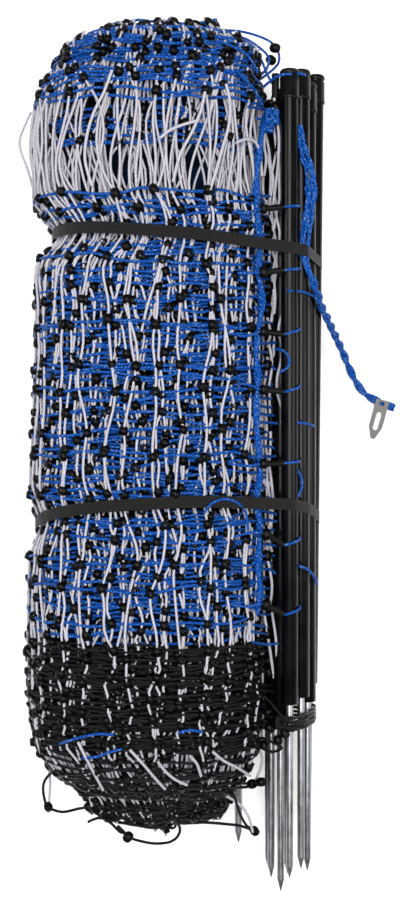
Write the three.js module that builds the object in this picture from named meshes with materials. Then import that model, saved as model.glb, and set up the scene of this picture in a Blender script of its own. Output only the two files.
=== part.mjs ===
// A bundled electric otter netting: a long net gathered in folds beside its ten plastic posts, held by two straps.
// Units are millimetres. The bundle lies on the floor: +Z is up, +Y runs along the posts towards their caps,
// and +X points from the net to the posts. The origin is on the floor under the middle of the bundle.
import * as THREE from "three";

// Posts: a black tube with a slip-on cap at one end and a galvanised ground spike at the other
const tubeDiameter = 19;
const fitGap = 0.3;
const capWall = 0.85;
const capLength = 33;
const capTopThickness = 2.5;
const capRingHeight = 2.2;
const capRingStep = 0.35;
const capGrooveFromTop = 6.5;
const capGrooveHeight = 2.6;
const capGrooveDepth = 0.5;
const capTopRadius = 2.2;
const postAboveGround = 689;
const spikeDiameter = 8;
const spikeExposed = 189;
const spikeSocketDepth = 60;
const spikePointLength = 13;
const spikeTipRadius = 0.6;
const postSides = 16;
const spikeSides = 12;

// Pile of posts, in the plane across them: each post leans on another at the angle given,
// counted from +X, with its cap ring against the other's. Post i lies on the floor under the net.
// A lean, in degrees, swings a post's cap end out to +X.
const topPost = { x: 94.5, z: 151 };
const floorPostX = 43;
const postPile = [
  { name: "a", capTopY: 413.5 },
  { name: "b", on: "a", degrees: -52, capTopY: 418 },
  { name: "c", on: "b", degrees: -67, capTopY: 409 },
  { name: "d", on: "c", degrees: -80, capTopY: 425, lean: 0.6 },
  { name: "e", on: "a", degrees: -112, capTopY: 392 },
  { name: "f", on: "g", degrees: -141, capTopY: 395 },
  { name: "g", on: "e", degrees: -67, capTopY: 405 },
  { name: "h", on: "f", degrees: -95, capTopY: 398 },
  { name: "i", capTopY: 408 },
  { name: "j", on: "g", degrees: -81, capTopY: 404 },
];

// Net: the bundle's outer shape at stations along Y. The left, bottom and top are its edges there, and the
// inset is how far its right edge keeps from the posts. A bottom below the floor is pressed flat on it.
const netSides = 36;
const netSquareness = 2.8;
const netPostGap = 1.2;
const netRampLength = 34;
const netOverhangRise = 18;
const netStations = [
  { y: -402, left: -142, inset: 21, bottom: 0, top: 104 },
  { y: -376, left: -160, inset: 13, bottom: -3, top: 138 },
  { y: -350, left: -180, inset: 6, bottom: -4, top: 168 },
  { y: -322, left: -192, inset: 3, bottom: -4, top: 190 },
  { y: -280, left: -196, inset: 1, bottom: -4, top: 201 },
  { y: -200, left: -197, inset: 1, bottom: -4, top: 206 },
  { y: -20, left: -195, inset: 1, bottom: -4, top: 206 },
  { y: 110, left: -189, inset: 1, bottom: -4, top: 204 },
  { y: 280, left: -192, inset: 1, bottom: -4, top: 205 },
  { y: 345, left: -194, inset: 2, bottom: -4, top: 206 },
  { y: 392, left: -186, inset: 2, bottom: -2, top: 205 },
  { y: 414, left: -174, inset: 3, bottom: 2, top: 203 },
  { y: 432, left: -155, inset: 8, bottom: 8, top: 198 },
];
const netPlainStations = [-240, 45, 160, 315];
const capEndTurns = { count: 5, bulge: 36, valley: 7, lean: 12 };
const footEndTurns = { count: 4, bulge: 46, valley: 7, lean: -8 };
const netLeanReach = 70;

// Straps: woven black tape pulled tight round the net and the posts, each tilted a little across the bundle
const strapWidth = 12.5;
const strapThickness = 1.2;
const strapGap = 0.35;
const strapGrooveFlat = 9.5;
const strapGrooveReach = 36;
const strapDriftReach = 120;
const strapPointSpacing = 2;
const ropeStrapRoom = 1;
const straps = [
  {
    name: "strap_upper",
    y: 225.5,
    slopeX: -8.5,
    slopeZ: 5.6,
    pinchLeft: 24,
    pinchTop: 10,
    pinchBottom: 12,
    overRope: true,
  },
  {
    name: "strap_lower",
    y: -83.8,
    slopeX: 6.8,
    slopeZ: 27,
    pinchLeft: 10,
    pinchTop: 9,
    pinchBottom: 12,
    overRope: false,
  },
];

// Sleeves: short black tubes that grip the net's cords just before they loop round the top post
const sleeveDiameter = 6.6;
const sleeveBore = 3.6;
const sleeveLength = 20;
const sleeveSides = 12;
const sleeveContactDegrees = 130;
const sleeveRise = 9;
const sleeves = [
  { y: 262, turn: 10 },
  { y: 194, turn: 10 },
  { y: 125, turn: -4 },
  { y: 63, turn: -4 },
  { y: -14, turn: 2 },
  { y: -102, turn: -32 },
  { y: -177, turn: -30 },
];

// Lead rope: several net cords laid up into one rope, from the pile of posts down to the floor
const ropeDiameter = 9;
const ropeSides = 8;
const ropeStep = 12;
const ropeFloorGap = 0.3;
const ropePoints = [
  [109.2, 352, 148.6],
  [109.6, 334, 148.4],
  [111, 316, 148.2],
  [112.8, 297, 147.6],
  [113.6, 278, 147.2],
  [112.4, 258, 147.8],
  [110.2, 238, 148.4],
  [110, 220, 148.4],
  [111, 206, 148.3],
  [116, 193.8, 146.5],
  [121.9, 181.5, 141],
  [127.5, 171, 128],
  [132.8, 160.8, 112],
  [141, 150.7, 90],
  [149.2, 140.5, 67],
  [158.3, 129, 42],
  [167.3, 116.7, 20],
  [175.2, 100.8, 8],
  [183.4, 84.2, 4.8],
  [191.3, 72.2, 4.8],
  [201.3, 63.4, 4.8],
  [215.5, 57.2, 4.8],
  [230.4, 50.5, 4.8],
];

// Connector plate: flat stainless plate on the rope's end, one end on the rope and its tip on the floor
const plateLength = 48.5;
const plateWidth = 16;
const plateTipWidth = 5;
const plateTaperLength = 15;
const plateThickness = 1.5;
const plateCornerRadius = 1.5;
const ropeHole = { width: 6, length: 4.6, fromEnd: 2.2 };
const lockSlot = { width: 6, length: 23, fromEnd: 15 };
const platePastRope = 3;
const plateTurn = THREE.MathUtils.degToRad(-14);

const postBlack = { color: 0x151516, roughness: 0.32, metalness: 0 };
const capBlack = { color: 0x1c1b1c, roughness: 0.42, metalness: 0 };
const zinc = { color: 0xa8abae, roughness: 0.35, metalness: 0.9 };
const netBlue = { color: 0x1450b8, roughness: 0.6, metalness: 0 };
const strapBlack = { color: 0x242220, roughness: 0.85, metalness: 0 };
const sleeveBlack = { color: 0x1d1a18, roughness: 0.7, metalness: 0 };
const ropeBlue = { color: 0x0d47b4, roughness: 0.6, metalness: 0 };
const plateSteel = { color: 0x84807c, roughness: 0.4, metalness: 0.9 };

const tubeRadius = tubeDiameter / 2;
const capBoreRadius = tubeRadius + fitGap;
const capRadius = capBoreRadius + capWall;
const capRingRadius = capRadius + capRingStep;
const postPitch = 2 * capRingRadius + fitGap;
const socketRadius = spikeDiameter / 2 + fitGap;
const ropeRadius = ropeDiameter / 2;

// The straps pass under the floor post, just clear of the floor
const floorPostZ = Math.max(capRingRadius, tubeRadius + strapGap + strapThickness) + fitGap;
const floorPostRoom = capRingRadius + netPostGap;

const bundle = new THREE.Group();
const cord = new THREE.Group();

function addPiece(group, name, geometry, finish) {
  const piece = new THREE.Mesh(geometry, new THREE.MeshStandardMaterial(finish));
  piece.name = name;
  group.add(piece);
  return piece;
}

// A profile of [radius, height] pairs turned about the Y axis
function turned(profile, sides) {
  return new THREE.LatheGeometry(
    profile.map(([radius, height]) => new THREE.Vector2(radius, height)),
    sides,
  );
}

// Where each post's foot lies in the pile
function postFoot(name) {
  const post = postPile.find((p) => p.name === name);
  if (name === "a") return new THREE.Vector2(topPost.x, topPost.z);
  if (name === "i") return new THREE.Vector2(floorPostX, floorPostZ);
  const angle = THREE.MathUtils.degToRad(post.degrees);
  const step = new THREE.Vector2(Math.cos(angle), Math.sin(angle));
  return postFoot(post.on).add(step.multiplyScalar(postPitch));
}

// A post's middle at y, with its lean
function postMiddle({ name, capTopY, lean = 0 }, y) {
  const middle = postFoot(name);
  middle.x += (y - capTopY + postAboveGround) * Math.tan(THREE.MathUtils.degToRad(lean));
  return middle;
}

// The tube stops just under the cap's top, and has a blind socket for the spike in its foot
function tubeGeometry() {
  const top = -capTopThickness - fitGap;
  const foot = -postAboveGround;
  return turned(
    [
      [0, top],
      [0, foot + spikeSocketDepth],
      [socketRadius, foot + spikeSocketDepth],
      [socketRadius, foot],
      [tubeRadius, foot],
      [tubeRadius, top],
      [0, top],
    ],
    postSides,
  );
}

// A cup over the tube's end, with a rounded top, a groove for the net's top cord and a ring at its rim
function capGeometry() {
  const rim = -capLength;
  const grooveTop = -capGrooveFromTop + capGrooveHeight / 2;
  const grooveFoot = -capGrooveFromTop - capGrooveHeight / 2;
  const corner = capTopRadius * (1 - Math.SQRT1_2);
  return turned(
    [
      [0, -capTopThickness],
      [capBoreRadius, -capTopThickness],
      [capBoreRadius, rim],
      [capRingRadius, rim],
      [capRingRadius, rim + capRingHeight],
      [capRadius, rim + capRingHeight],
      [capRadius, grooveFoot],
      [capRadius - capGrooveDepth, grooveFoot],
      [capRadius - capGrooveDepth, grooveTop],
      [capRadius, grooveTop],
      [capRadius, -capTopRadius],
      [capRadius - corner, -corner],
      [capRadius - capTopRadius, 0],
      [0, 0],
    ],
    postSides,
  );
}

function spikeGeometry() {
  const radius = spikeDiameter / 2;
  const foot = -postAboveGround;
  const seat = foot + spikeSocketDepth - fitGap;
  const tip = foot - spikeExposed;
  return turned(
    [
      [0, tip],
      [spikeTipRadius, tip],
      [radius, tip + spikePointLength],
      [radius, seat],
      [0, seat],
    ],
    spikeSides,
  );
}

function addPosts() {
  for (const { name, capTopY, lean = 0 } of postPile) {
    const top = postMiddle({ name, capTopY, lean }, capTopY);
    const post = new THREE.Group();
    post.position.set(top.x, capTopY, top.y);
    post.rotation.z = -THREE.MathUtils.degToRad(lean);
    addPiece(post, `post_tube_${name}`, tubeGeometry(), postBlack);
    addPiece(post, `post_cap_${name}`, capGeometry(), capBlack);
    addPiece(post, `post_spike_${name}`, spikeGeometry(), zinc);
    bundle.add(post);
  }
}

// The net keeps left of the lowest posts of the pile
function postsLeftEdge() {
  const piled = postPile.filter((post) => post.name !== "i").map((post) => postFoot(post.name).x);
  return Math.min(...piled) - capRingRadius - netPostGap;
}

// How much a strap draws the net in at y: 1 under the strap, 0 past its reach
function grooveShare(strap, y) {
  return 1 - THREE.MathUtils.smoothstep(Math.abs(y - strap.y), strapGrooveFlat, strapGrooveReach);
}

// The net's edges at y, between two stations, before the straps draw it in
function looseEdges(y) {
  const next = Math.max(1, netStations.findIndex((s) => s.y >= y));
  const [low, high] = [netStations[next - 1], netStations[next]];
  const share = (y - low.y) / (high.y - low.y);
  const edge = (key) => THREE.MathUtils.lerp(low[key], high[key], share);
  const right = postsLeftEdge() - edge("inset");
  return { left: edge("left"), right, bottom: edge("bottom"), top: edge("top") };
}

function netEdges(y) {
  const edges = looseEdges(y);
  for (const strap of straps) {
    const share = grooveShare(strap, y);
    edges.left += share * strap.pinchLeft;
    edges.top -= share * strap.pinchTop;
    edges.bottom += share * strap.pinchBottom;
  }
  return edges;
}

// A rounded box of a section, flat on the floor at the left and ramped up over the floor post at the right,
// and reaching out above the posts that lie beside it
function netSection(edges) {
  const halfWidth = (edges.right - edges.left) / 2;
  const halfHeight = (edges.top - edges.bottom) / 2;
  const round = (value) => Math.sign(value) * Math.abs(value) ** (2 / netSquareness);
  const rampEnd = floorPostX - floorPostRoom - netPostGap;
  const overhang = postFoot("e").x - capRingRadius - netPostGap - postsLeftEdge();
  const overhangStart = postFoot("f").y + capRingRadius;
  const points = [];
  for (let i = 0; i < netSides; i++) {
    const angle = (i / netSides) * 2 * Math.PI;
    const across = round(Math.cos(angle));
    const z = (edges.bottom + edges.top) / 2 + halfHeight * round(Math.sin(angle));
    const rise = THREE.MathUtils.smoothstep(z, overhangStart, overhangStart + netOverhangRise);
    const x = (edges.left + edges.right) / 2 + halfWidth * across + overhang * rise * Math.max(across, 0);
    const ramp = THREE.MathUtils.clamp((x - rampEnd) / netRampLength + 1, 0, 1);
    points.push(new THREE.Vector2(x, Math.max(z, ramp * (floorPostZ + floorPostRoom))));
  }
  return points;
}

// A strap's own section of the net gives the middle and size that its tilt is measured from
function strapTilt(strap, x, z) {
  const { left, right, bottom, top } = netEdges(strap.y);
  const across = (2 * x - left - right) / (right - left);
  const up = (2 * z - bottom - top) / (top - bottom);
  return strap.slopeX * across + strap.slopeZ * up;
}

// The net follows each strap's tilt near it, so that the groove lies under the strap
function netDrift(y, x, z) {
  return straps.reduce((sum, strap) => {
    const away = Math.abs(y - strap.y);
    const share = 1 - THREE.MathUtils.smoothstep(away, strapGrooveReach, strapDriftReach);
    return sum + share * strapTilt(strap, x, z);
  }, 0);
}

function shrunk(edges, share) {
  const between = (a, b) => THREE.MathUtils.lerp((a + b) / 2, a, share);
  return {
    left: between(edges.left, edges.right),
    right: between(edges.right, edges.left),
    bottom: between(Math.max(edges.bottom, 0), edges.top),
    top: between(edges.top, edges.bottom),
  };
}

// Rings that close an end of the net as rounded ridges, one for each turn of the folds that shows there
function endRings(station, turns, direction) {
  const rings = [];
  const middle = (station.bottom + station.top) / 2;
  const ringAt = (share, y) =>
    netSection(shrunk(station, share)).map(
      (p) => new THREE.Vector3(p.x, y + (turns.lean * (p.y - middle)) / (station.top - middle), p.y),
    );
  for (let i = 1; i <= turns.count; i++) {
    const crest = 1 - (i - 0.4) / (turns.count + 0.5);
    const valley = 1 - i / (turns.count + 0.5);
    rings.push(ringAt(crest, station.y + direction * turns.bulge * (1 - crest ** 2)));
    rings.push(ringAt(valley, station.y + direction * (turns.bulge * (1 - valley ** 2) - turns.valley)));
  }
  return rings;
}

// Rings of equal counts joined into one closed skin, with a fan over each end
function lofted(rings) {
  const count = rings[0].length;
  const positions = rings.flat().flatMap((p) => [p.x, p.y, p.z]);
  const index = [];
  for (let r = 0; r + 1 < rings.length; r++)
    for (let i = 0; i < count; i++) {
      const j = (i + 1) % count;
      const [a, b] = [r * count + i, r * count + j];
      index.push(a, a + count, b, b, a + count, b + count);
    }
  for (const [r, flip] of [[0, false], [rings.length - 1, true]]) {
    const middle = rings[r].reduce((sum, p) => sum.add(p), new THREE.Vector3()).divideScalar(count);
    const hub = positions.length / 3;
    positions.push(middle.x, middle.y, middle.z);
    for (let i = 0; i < count; i++) {
      const [a, b] = [r * count + i, r * count + ((i + 1) % count)];
      index.push(hub, ...(flip ? [b, a] : [a, b]));
    }
  }
  const geometry = new THREE.BufferGeometry();
  geometry.setAttribute("position", new THREE.Float32BufferAttribute(positions, 3));
  geometry.setIndex(index);
  return geometry;
}

function netGeometry() {
  const grooveOffsets = [-1, 1].flatMap((side) =>
    [strapGrooveFlat, (strapGrooveFlat + strapGrooveReach) / 2, strapGrooveReach].map((d) => side * d),
  );
  const grooveYs = straps.flatMap((strap) => grooveOffsets.map((d) => strap.y + d));
  const ys = [...netStations.map((s) => s.y), ...netPlainStations, ...grooveYs].sort((a, b) => a - b);
  const [first, last] = [netStations.at(0), netStations.at(-1)].map(({ y }) => ({ y, ...looseEdges(y) }));
  const leanAt = (y, p, turns, station) => {
    const middle = (station.bottom + station.top) / 2;
    const share = 1 - THREE.MathUtils.smoothstep(Math.abs(y - station.y), 0, netLeanReach);
    return (share * turns.lean * (p.y - middle)) / (station.top - middle);
  };
  const body = ys.map((y) =>
    netSection(netEdges(y)).map((p) => {
      const lean = leanAt(y, p, capEndTurns, last) + leanAt(y, p, footEndTurns, first);
      return new THREE.Vector3(p.x, y + netDrift(y, p.x, p.y) + lean, p.y);
    }),
  );
  const foot = endRings(first, footEndTurns, -1).reverse();
  const cap = endRings(last, capEndTurns, 1);
  return lofted([...foot, ...body, ...cap]);
}

// The tight outline round a set of points, counterclockwise
function hull(points) {
  const sorted = [...points].sort((p, q) => p.x - q.x || p.y - q.y);
  const half = (list) => {
    const kept = [];
    for (const p of list) {
      while (kept.length > 1) {
        const [a, b] = kept.slice(-2);
        if ((b.x - a.x) * (p.y - a.y) - (b.y - a.y) * (p.x - a.x) > 0) break;
        kept.pop();
      }
      kept.push(p);
    }
    return kept.slice(0, -1);
  };
  return [...half(sorted), ...half(sorted.reverse())];
}

function circlePoints(centre, radius, count) {
  const points = [];
  for (let i = 0; i < count; i++) {
    const angle = (i / count) * 2 * Math.PI;
    points.push(new THREE.Vector2(Math.cos(angle), Math.sin(angle)).multiplyScalar(radius).add(centre));
  }
  return points;
}

// The rope's middle where it passes under the strap
function ropeUnder(strap) {
  const away = ([x, y, z]) => Math.abs(y - strap.y - strapTilt(strap, x, z));
  const under = ropePoints.reduce((best, p) => (away(p) < away(best) ? p : best));
  return new THREE.Vector2(under[0], under[2]);
}

// The strap's outline at a distance outside what it goes round
function strapOutline(strap, distance) {
  const hullSides = 48;
  const smoothing = 12;
  const netPoints = netSection(netEdges(strap.y)).flatMap((p) => circlePoints(p, distance, smoothing));
  const postPoints = postPile.flatMap((post) => {
    const foot = postFoot(post.name);
    const middle = postMiddle(post, strap.y + strapTilt(strap, foot.x, foot.y));
    return circlePoints(middle, tubeRadius + distance, hullSides);
  });
  const ropeRoom = ropeRadius + ropeStrapRoom + distance;
  const ropePart = strap.overRope ? circlePoints(ropeUnder(strap), ropeRoom, hullSides) : [];
  const kept = [];
  for (const p of hull([...netPoints, ...postPoints, ...ropePart])) {
    const previous = kept[kept.length - 1];
    if (!previous || p.distanceTo(previous) > strapPointSpacing) kept.push(p);
  }
  return kept;
}

function strapGeometry(strap) {
  const shape = new THREE.Shape(strapOutline(strap, strapGap + strapThickness));
  shape.holes.push(new THREE.Path(strapOutline(strap, strapGap)));
  const geometry = new THREE.ExtrudeGeometry(shape, { depth: strapWidth, bevelEnabled: false });
  // The shape was drawn in X and Z, so the extrusion's depth becomes Y, centred on the strap
  geometry.rotateX(Math.PI / 2);
  geometry.translate(0, strap.y + strapWidth / 2, 0);
  const position = geometry.getAttribute("position");
  for (let i = 0; i < position.count; i++) {
    const tilt = strapTilt(strap, position.getX(i), position.getZ(i));
    position.setY(i, position.getY(i) + tilt);
  }
  return geometry;
}

function sleeveGeometry() {
  const [outer, inner, half] = [sleeveDiameter / 2, sleeveBore / 2, sleeveLength / 2];
  return turned(
    [
      [inner, -half],
      [outer, -half],
      [outer, half],
      [inner, half],
      [inner, -half],
    ],
    sleeveSides,
  );
}

// Each sleeve's post end touches the top post, and it slopes up over the edge of the net
function addSleeves() {
  const contact = THREE.MathUtils.degToRad(sleeveContactDegrees);
  const outward = new THREE.Vector3(Math.cos(contact), 0, Math.sin(contact));
  sleeves.forEach(({ y, turn }, i) => {
    const level = THREE.MathUtils.degToRad(turn);
    const along = new THREE.Vector3(-Math.cos(level), -Math.sin(level), sleeveRise / sleeveLength).normalize();
    const rimReach = (sleeveDiameter / 2) * Math.sin(outward.angleTo(along));
    const end = new THREE.Vector3(topPost.x, y, topPost.z);
    end.addScaledVector(outward, tubeRadius + fitGap + rimReach);
    const sleeve = addPiece(bundle, `clip_sleeve_${i + 1}`, sleeveGeometry(), sleeveBlack);
    sleeve.position.copy(end).addScaledVector(along, sleeveLength / 2);
    sleeve.quaternion.setFromUnitVectors(new THREE.Vector3(0, 1, 0), along);
  });
}

function ropeGeometry() {
  const path = new THREE.CatmullRomCurve3(ropePoints.map((p) => new THREE.Vector3(...p)), false, "centripetal");
  const section = new THREE.Shape(circlePoints(new THREE.Vector2(), ropeRadius, ropeSides));
  const steps = Math.round(path.getLength() / ropeStep);
  return new THREE.ExtrudeGeometry(section, { steps, extrudePath: path, bevelEnabled: false });
}

function roundedSlot(centreY, width, length) {
  const [radius, straight] = [width / 2, Math.max(length - width, 0) / 2];
  const slot = new THREE.Path();
  slot.absarc(0, centreY + straight, radius, 0, Math.PI, false);
  slot.absarc(0, centreY - straight, radius, Math.PI, 2 * Math.PI, false);
  slot.closePath();
  return slot;
}

// Drawn with its rope end at the origin and its tip along -Y
function plateGeometry() {
  const [half, tip] = [plateWidth / 2, plateTipWidth / 2];
  const shoulder = -(plateLength - plateTaperLength);
  const r = plateCornerRadius;
  const shape = new THREE.Shape();
  shape.moveTo(half, -r);
  shape.absarc(half - r, -r, r, 0, Math.PI / 2, false);
  shape.absarc(-half + r, -r, r, Math.PI / 2, Math.PI, false);
  shape.lineTo(-half, shoulder);
  shape.lineTo(-tip, -plateLength);
  shape.lineTo(tip, -plateLength);
  shape.lineTo(half, shoulder);
  shape.closePath();
  const holeY = -ropeHole.fromEnd - ropeHole.length / 2;
  const hole = new THREE.Path();
  hole.moveTo(-ropeHole.width / 2, holeY - ropeHole.length / 2);
  hole.lineTo(ropeHole.width / 2, holeY - ropeHole.length / 2);
  hole.lineTo(ropeHole.width / 2, holeY + ropeHole.length / 2);
  hole.lineTo(-ropeHole.width / 2, holeY + ropeHole.length / 2);
  hole.closePath();
  const slotY = -lockSlot.fromEnd - lockSlot.length / 2;
  shape.holes.push(hole, roundedSlot(slotY, lockSlot.width, lockSlot.length));
  return new THREE.ExtrudeGeometry(shape, { depth: plateThickness, bevelEnabled: false, curveSegments: 4 });
}

// The plate lies over the rope near its end, and tips down until its point meets the floor
function addPlate() {
  const seat = new THREE.Vector3(...ropePoints[ropePoints.length - 2]);
  const tipReach = plateLength - platePastRope;
  const tilt = Math.asin((seat.z + ropeRadius) / tipReach);
  const plate = addPiece(cord, "connector_plate", plateGeometry(), plateSteel);
  plate.geometry.translate(0, platePastRope, 0);
  plate.rotation.set(tilt, 0, plateTurn, "ZXY");
  plate.position.set(seat.x, seat.y, tipReach * Math.sin(tilt) + ropeFloorGap);
}

addPosts();
addPiece(bundle, "netting", netGeometry(), netBlue);
for (const strap of straps) addPiece(bundle, strap.name, strapGeometry(strap), strapBlack);
addSleeves();
addPiece(cord, "lead_rope", ropeGeometry(), ropeBlue);
addPlate();

// The origin goes to the middle of the bundle's footprint; the rope and its plate follow
const footprint = new THREE.Box3().setFromObject(bundle, true).getCenter(new THREE.Vector3());
const netBundle = new THREE.Group();
netBundle.add(bundle, cord);
bundle.position.set(-footprint.x, -footprint.y, 0);
cord.position.copy(bundle.position);

export default netBundle;
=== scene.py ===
import bpy
import math
import random
from bisect import bisect_left
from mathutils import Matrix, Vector, noise
from mathutils.bvhtree import BVHTree


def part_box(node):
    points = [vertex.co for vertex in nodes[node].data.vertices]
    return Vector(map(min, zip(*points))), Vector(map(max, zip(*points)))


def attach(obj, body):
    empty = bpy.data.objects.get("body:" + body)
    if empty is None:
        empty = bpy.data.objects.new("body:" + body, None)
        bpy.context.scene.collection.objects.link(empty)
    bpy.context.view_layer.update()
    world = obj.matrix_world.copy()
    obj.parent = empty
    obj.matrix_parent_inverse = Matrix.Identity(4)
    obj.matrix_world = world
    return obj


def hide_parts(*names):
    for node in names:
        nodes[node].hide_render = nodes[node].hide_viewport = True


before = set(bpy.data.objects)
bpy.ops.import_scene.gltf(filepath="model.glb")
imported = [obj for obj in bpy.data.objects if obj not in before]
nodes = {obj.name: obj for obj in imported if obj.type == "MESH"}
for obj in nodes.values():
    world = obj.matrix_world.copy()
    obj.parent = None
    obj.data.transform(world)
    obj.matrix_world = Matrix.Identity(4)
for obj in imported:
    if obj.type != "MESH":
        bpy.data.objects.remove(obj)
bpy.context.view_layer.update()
mm = 0.001
postNames = "abcdefghij"
sleeveNames = [f"clip_sleeve_{n}" for n in range(1, 8)]

# Lengths in the dictionaries are millimetres, and places are the bundle's own: x 0, y 0 lies right under the
# camera. The shift brings them into the frame, by the cap of the post on top.
topPost = {"middle": 94.5, "capEnd": 413.5}
capLow, capHigh = [Vector(corner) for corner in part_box("post_cap_a")]
shift = Vector(((capLow.x + capHigh.x) / 2 - topPost["middle"] * mm, capHigh.y - topPost["capEnd"] * mm, 0))


def place(x, y, z):
    return Vector((x, y, z)) * mm + shift


def inBundle(point):
    return (Vector(point) - shift) / mm


def rayAt(angle):
    return Vector((math.cos(angle), 0, math.sin(angle)))


def between(pair, share):
    return pair[0] + (pair[1] - pair[0]) * share


def swing(source, reach):
    return source.uniform(-reach, reach)


cameraSet = {"height": 1500, "lens": 49.72, "filmHeight": 36, "pictureHeight": 900, "pictureWidth": 405}


def addCamera():
    data = bpy.data.cameras.new("camera")
    data.sensor_fit = "VERTICAL"
    data.sensor_height = cameraSet["filmHeight"]
    data.lens = cameraSet["lens"]
    camera = bpy.data.objects.new("camera", data)
    camera.location = place(0, 0, cameraSet["height"])
    bpy.context.scene.collection.objects.link(camera)
    bpy.context.scene.camera = camera
    bpy.context.scene.view_settings.view_transform = "Standard"


addCamera()
print("camera done")


# Bundle place of a pixel of the picture, at a height
def seenAt(across, down, z):
    filmStep = cameraSet["filmHeight"] / cameraSet["pictureHeight"]
    perPixel = (cameraSet["height"] - z) * filmStep / cameraSet["lens"]
    x = (across - cameraSet["pictureWidth"] / 2) * perPixel
    y = (cameraSet["pictureHeight"] / 2 - down) * perPixel
    return Vector((x, y, z))


# Shader helpers

def addNode(tree, kind, inputs=None, **settings):
    node = tree.nodes.new(kind)
    for name, value in settings.items():
        setattr(node, name, value)
    for name, value in (inputs or {}).items():
        if isinstance(value, bpy.types.NodeSocket):
            tree.links.new(value, node.inputs[name])
        else:
            node.inputs[name].default_value = value
    return node


def addMath(tree, operation, first, second=0.0):
    return addNode(tree, "ShaderNodeMath", {0: first, 1: second}, operation=operation).outputs[0]


def addMix(tree, factor, first, second):
    node = addNode(tree, "ShaderNodeMix", {"Factor": factor}, data_type="RGBA")
    for name, value in (("A", first), ("B", second)):
        socket = next(s for s in node.inputs if s.name == name and s.type == "RGBA")
        if isinstance(value, bpy.types.NodeSocket):
            tree.links.new(value, socket)
        else:
            socket.default_value = value
    return next(s for s in node.outputs if s.type == "RGBA")


def addRamp(tree, value, low, high):
    inputs = {"Value": value, "From Min": low, "From Max": high}
    return addNode(tree, "ShaderNodeMapRange", inputs, interpolation_type="SMOOTHSTEP").outputs["Result"]


def newGroup(name, kind, inputs, outputs):
    tree = bpy.data.node_groups.new(name, kind)
    for label, socketType, value in inputs:
        socket = tree.interface.new_socket(label, in_out="INPUT", socket_type=socketType)
        if value is not None:
            socket.default_value = value
    for label, socketType in outputs:
        tree.interface.new_socket(label, in_out="OUTPUT", socket_type=socketType)
    return tree, tree.nodes.new("NodeGroupInput"), tree.nodes.new("NodeGroupOutput")


def useGroup(tree, group, inputs):
    node = tree.nodes.new("ShaderNodeGroup")
    node.node_tree = group
    for name, value in inputs.items():
        if isinstance(value, bpy.types.NodeSocket):
            tree.links.new(value, node.inputs[name])
        else:
            node.inputs[name].default_value = value
    return node


def newMaterial(name, **fixed):
    material = bpy.data.materials.new(name)
    material.use_nodes = True
    principled = material.node_tree.nodes["Principled BSDF"]
    for label, value in fixed.items():
        principled.inputs[label].default_value = value
    return material, material.node_tree, principled


# Strands laid round a string: the turn attribute holds the cosine and sine round it and the way along
def twistGroup():
    tree, start, end = newGroup("twist", "ShaderNodeTree", [
        ("Strands", "NodeSocketFloat", 3),
        ("Pitch", "NodeSocketFloat", 0.012),
        ("Depth", "NodeSocketFloat", 0.0004),
    ], [("Ridge", "NodeSocketFloat"), ("Normal", "NodeSocketVector")])
    turn = addNode(tree, "ShaderNodeAttribute", attribute_name="turn")
    parts = addNode(tree, "ShaderNodeSeparateXYZ", {"Vector": turn.outputs["Vector"]})
    angle = addMath(tree, "ARCTAN2", parts.outputs["Y"], parts.outputs["X"])
    around = addMath(tree, "MULTIPLY", angle, start.outputs["Strands"])
    turns = addMath(tree, "DIVIDE", parts.outputs["Z"], start.outputs["Pitch"])
    along = addMath(tree, "MULTIPLY", addMath(tree, "MULTIPLY", turns, start.outputs["Strands"]), 2 * math.pi)
    phase = addMath(tree, "ADD", around, along)
    wave = addMath(tree, "ABSOLUTE", addMath(tree, "COSINE", addMath(tree, "MULTIPLY", phase, 0.5)))
    height = addMath(tree, "POWER", wave, 0.8)
    bump = addNode(tree, "ShaderNodeBump", {"Height": height, "Distance": start.outputs["Depth"]})
    tree.links.new(height, end.inputs["Ridge"])
    tree.links.new(bump.outputs["Normal"], end.inputs["Normal"])
    return tree


# Two soft masks in object space: broad cloudiness, and small specks that the strings use as painted glints
def specksGroup():
    tree, start, end = newGroup("specks", "ShaderNodeTree", [
        ("Broad", "NodeSocketFloat", 20),
        ("Fine", "NodeSocketFloat", 400),
    ], [("Cloud", "NodeSocketFloat"), ("Glint", "NodeSocketFloat")])
    space = addNode(tree, "ShaderNodeTexCoord").outputs["Object"]
    broad = addNode(tree, "ShaderNodeTexNoise",
                    {"Vector": space, "Scale": start.outputs["Broad"], "Detail": 3})
    fine = addNode(tree, "ShaderNodeTexNoise",
                   {"Vector": space, "Scale": start.outputs["Fine"], "Detail": 2})
    tree.links.new(addRamp(tree, broad.outputs["Fac"], 0.35, 0.65), end.inputs["Cloud"])
    tree.links.new(addRamp(tree, fine.outputs["Fac"], 0.56, 0.66), end.inputs["Glint"])
    return tree


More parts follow.
